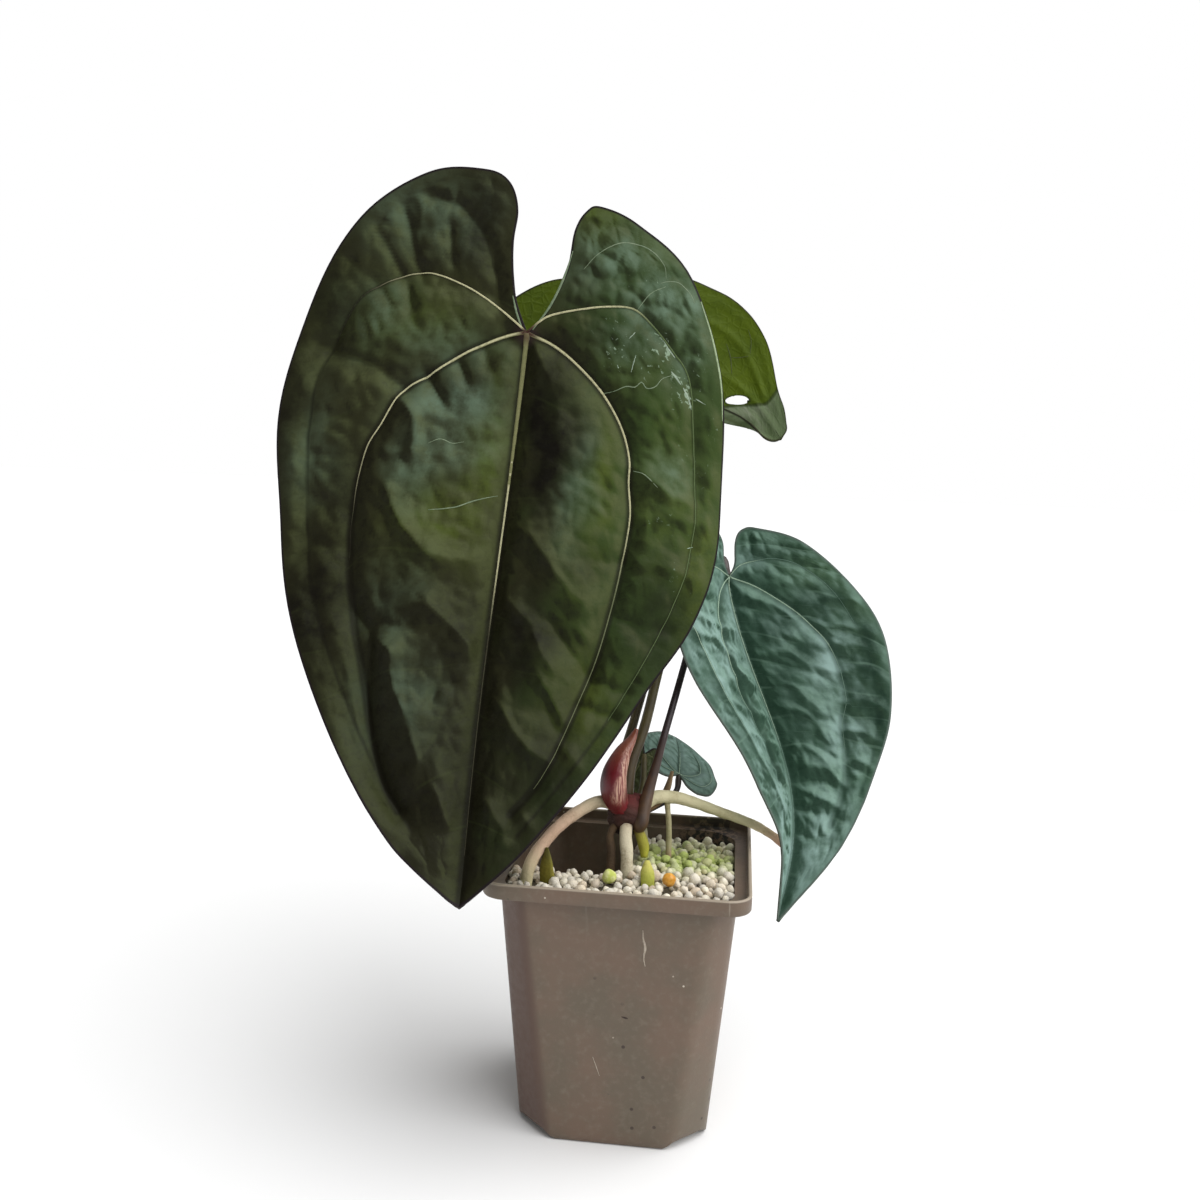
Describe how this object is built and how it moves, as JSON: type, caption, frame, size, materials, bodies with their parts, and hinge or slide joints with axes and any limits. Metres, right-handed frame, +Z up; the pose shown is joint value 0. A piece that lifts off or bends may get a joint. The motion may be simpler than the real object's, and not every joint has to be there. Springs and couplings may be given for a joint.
{
  "type": "potted velvet-leaf anthurium",
  "caption": "Velvety, spade-shaped dark leaves on thin stalks with stilt roots, growing from white perlite in a tapered square nursery pot.",
  "frame": {"origin": "middle of the pot's underside, on the surface that it stands on", "axes": "+Z up through the pot, -Y towards the front of the pot and the viewer of the large leaf, +X to the viewer's right"},
  "size_m": [0.2234, 0.1249, 0.3333],
  "materials": {
    "pot_plastic": "taupe injection-moulded plastic, satin, lightly scuffed, matt inner wall",
    "perlite": "porous off-white expanded grains, faint green algae in places",
    "stem_bark": "dark purple-brown stem with dry fibres",
    "sheath_red": "crimson leaf sheath with a pale pink streak, satin",
    "sheath_dry": "dry brown papery sheath",
    "petiole_olive": "olive stalk with a dark side, satin",
    "petiole_dark": "nearly black purple stalk, satin",
    "leaf_velvet_dark": "very dark olive velvet blade with bronze patches and cream veins",
    "leaf_velvet_blue": "blue-green velvet blade with a pale sheen and pale veins",
    "leaf_lit": "yellow-green underside with dark veins",
    "root_cream": "cream to pinkish root with a fine dry skin",
    "root_dark": "dry dark brown old root",
    "green_tip": "yellow-green growing tip or old bract",
    "granule_orange": "orange coated fertiliser granule"
  },
  "bodies": {
    "root": {"pot": "pot_plastic", "perlite": "perlite", "stem": "stem_bark", "sheath_red": "sheath_red", "sheath_old": "sheath_dry", "petiole_front": "petiole_olive", "petiole_back": "petiole_olive", "petiole_right": "petiole_dark", "petiole_small": "petiole_dark", "petiole_low": "petiole_olive", "leaf_front": "leaf_velvet_dark", "leaf_right": "leaf_velvet_blue", "leaf_back": "leaf_lit", "leaf_small": "leaf_velvet_blue", "leaf_low": "leaf_velvet_dark", "root_left": "root_cream", "root_right": "root_cream", "root_front": "root_cream", "root_old": "root_dark", "root_rear": "root_cream", "root_tip": "green_tip", "old_bract": "green_tip", "pale_stub": "green_tip", "granule_orange": "granule_orange", "granule_green": "green_tip"}
  },
  "joints": []
}
